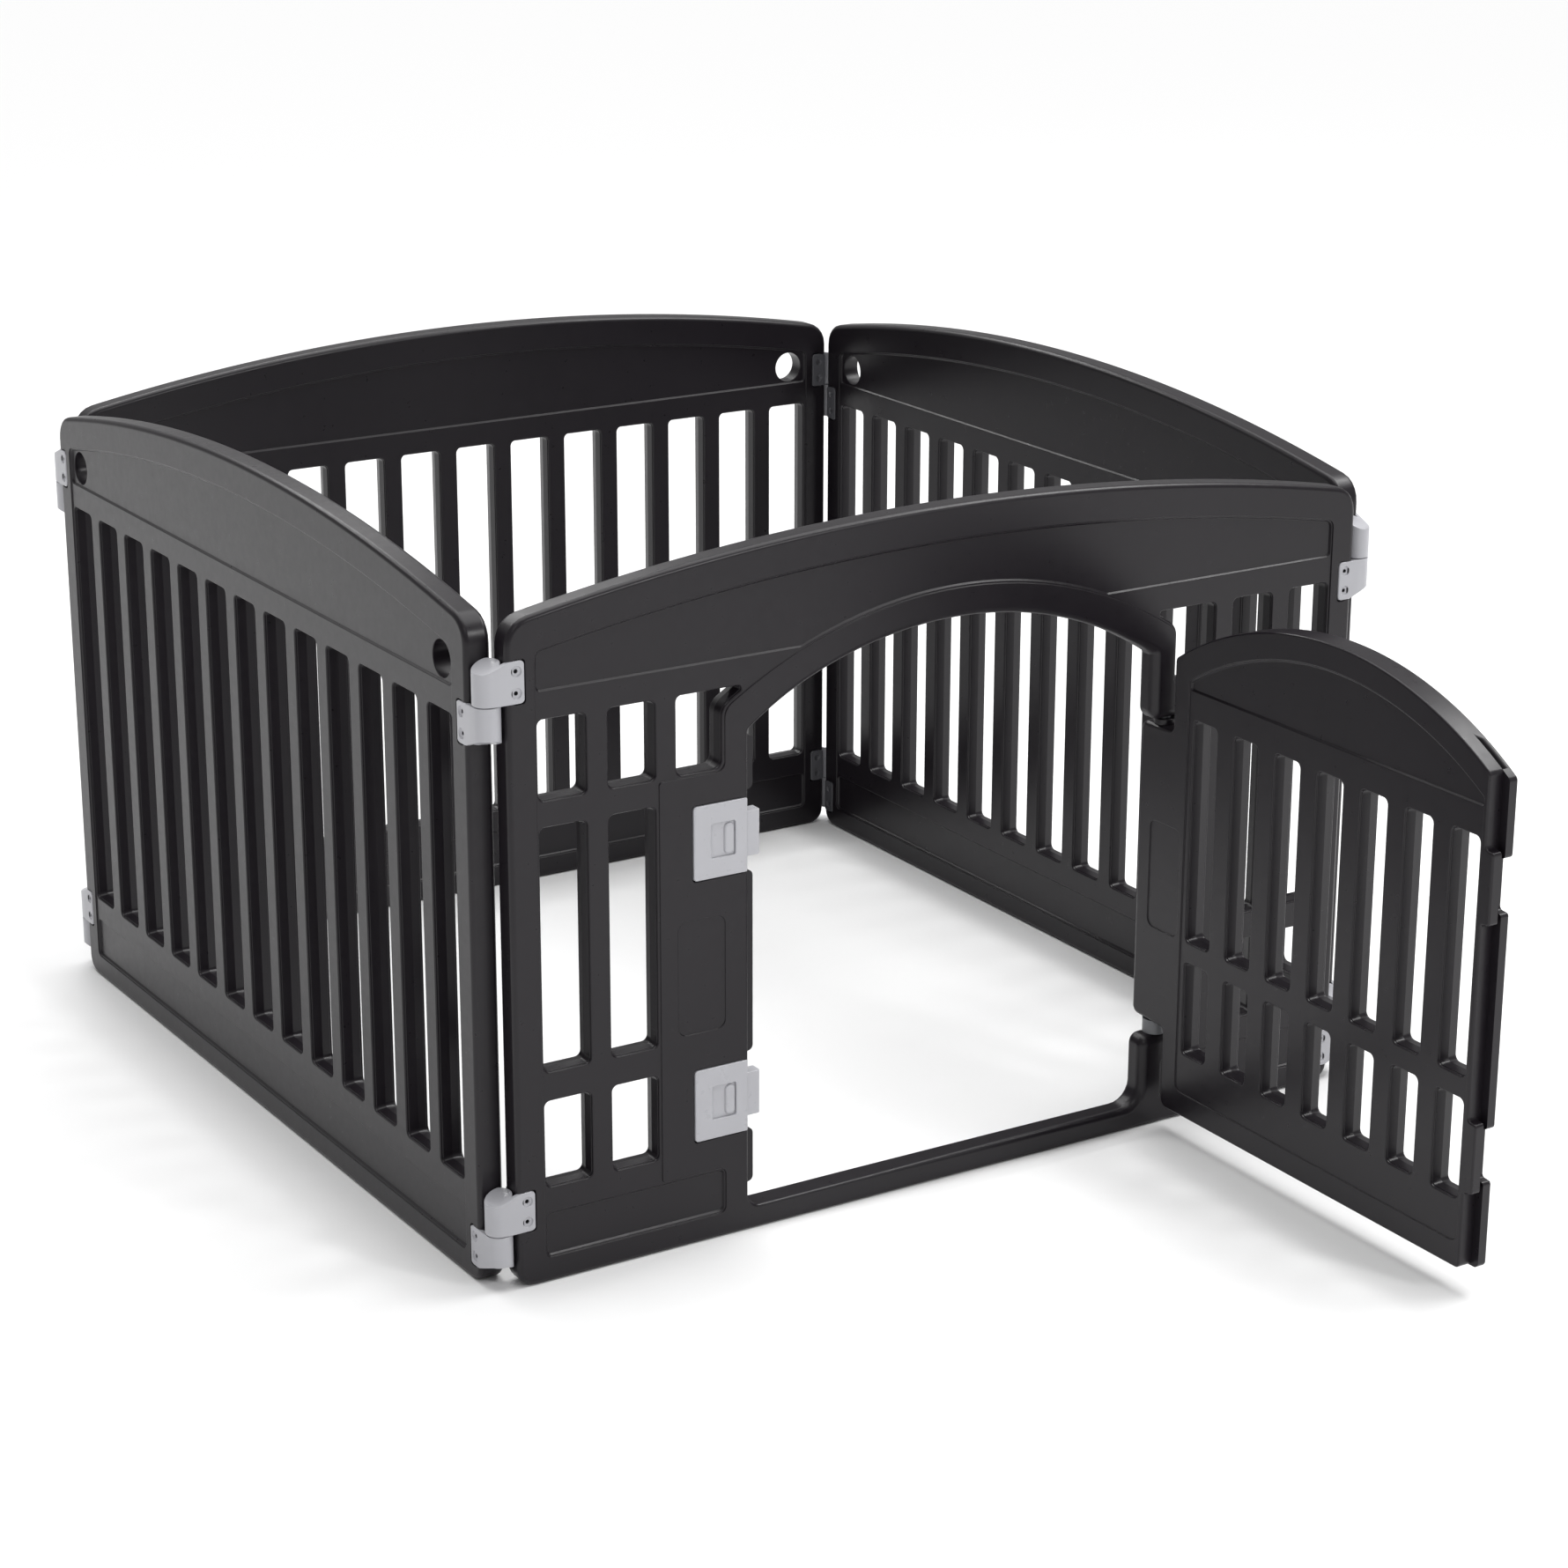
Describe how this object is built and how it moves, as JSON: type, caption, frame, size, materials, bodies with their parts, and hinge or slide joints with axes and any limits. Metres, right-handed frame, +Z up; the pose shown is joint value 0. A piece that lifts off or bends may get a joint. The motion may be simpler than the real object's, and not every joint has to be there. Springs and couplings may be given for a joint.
{
  "type": "pet playpen",
  "caption": "Square folding plastic pet playpen with arched grille panels, corner hinges and an arched swing door held by slide bolts.",
  "frame": {"origin": "middle of the front panel's bottom face, on the floor", "axes": "+X along the front panel to the right as seen from outside, +Y into the pen, +Z up"},
  "size_m": [0.9012, 1.3231, 0.607],
  "materials": {
    "panel_plastic": "satin moulded polypropylene",
    "hinge_plastic": "satin moulded ABS",
    "latch_plastic": "satin moulded ABS",
    "collar_plastic": "moulded acetal",
    "pin_steel": "drawn",
    "screw_steel": "black zinc plated"
  },
  "bodies": {
    "front": {"front_frame": "panel_plastic", "front_top_pin_half": "hinge_plastic", "front_top_socket_half": "hinge_plastic", "front_bottom_pin_half": "hinge_plastic", "front_bottom_socket_half": "hinge_plastic", "front_hinge_pins": "pin_steel", "front_backing_plates": "hinge_plastic", "front_hinge_screws": "screw_steel", "latch_cover_upper": "latch_plastic", "latch_cover_lower": "latch_plastic", "latch_screws": "screw_steel", "door_pivot_pin_upper": "pin_steel", "door_pivot_pin_lower": "pin_steel", "door_pivot_collar": "collar_plastic"},
    "left": {"left_panel": "panel_plastic", "left_top_pin_half": "hinge_plastic", "left_top_socket_half": "hinge_plastic", "left_bottom_pin_half": "hinge_plastic", "left_bottom_socket_half": "hinge_plastic", "left_hinge_pins": "pin_steel", "left_backing_plates": "hinge_plastic", "left_hinge_screws": "screw_steel"},
    "back": {"back_panel": "panel_plastic", "back_top_pin_half": "hinge_plastic", "back_top_socket_half": "hinge_plastic", "back_bottom_pin_half": "hinge_plastic", "back_bottom_socket_half": "hinge_plastic", "back_hinge_pins": "pin_steel", "back_backing_plates": "hinge_plastic", "back_hinge_screws": "screw_steel"},
    "right": {"right_panel": "panel_plastic", "right_top_pin_half": "hinge_plastic", "right_top_socket_half": "hinge_plastic", "right_bottom_pin_half": "hinge_plastic", "right_bottom_socket_half": "hinge_plastic", "right_hinge_pins": "pin_steel", "right_backing_plates": "hinge_plastic", "right_hinge_screws": "screw_steel"},
    "door": {"door": "panel_plastic"},
    "bolt_upper": {"latch_bolt_upper": "latch_plastic"},
    "bolt_lower": {"latch_bolt_lower": "latch_plastic"}
  },
  "joints": [
    {"name": "door_swing", "type": "hinge", "parent": "front", "child": "door", "pos_m": [0.2295, 0, 0.09], "axis": [0, 0, 1], "range_deg": [-90, 35]},
    {"name": "bolt_upper_slide", "type": "slide", "parent": "front", "child": "bolt_upper", "axis": [-1, 0, 0], "range_m": [0, 0.012]},
    {"name": "bolt_lower_slide", "type": "slide", "parent": "front", "child": "bolt_lower", "axis": [-1, 0, 0], "range_m": [0, 0.012]},
    {"name": "left_fold", "type": "hinge", "parent": "front", "child": "left", "pos_m": [-0.4385, 0, 0.05], "axis": [0, 0, 1], "range_deg": [-9, 9]},
    {"name": "back_fold", "type": "hinge", "parent": "left", "child": "back", "pos_m": [-0.4385, 0.877, 0.05], "axis": [0, 0, 1], "range_deg": [-9, 9]},
    {"name": "right_fold", "type": "hinge", "parent": "back", "child": "right", "pos_m": [0.4385, 0.877, 0.05], "axis": [0, 0, 1], "range_deg": [-9, 9]}
  ],
  "couplings": [
    {"joint": "back_fold", "follows": "left_fold", "ratio": -1},
    {"joint": "right_fold", "follows": "left_fold", "ratio": 1}
  ]
}
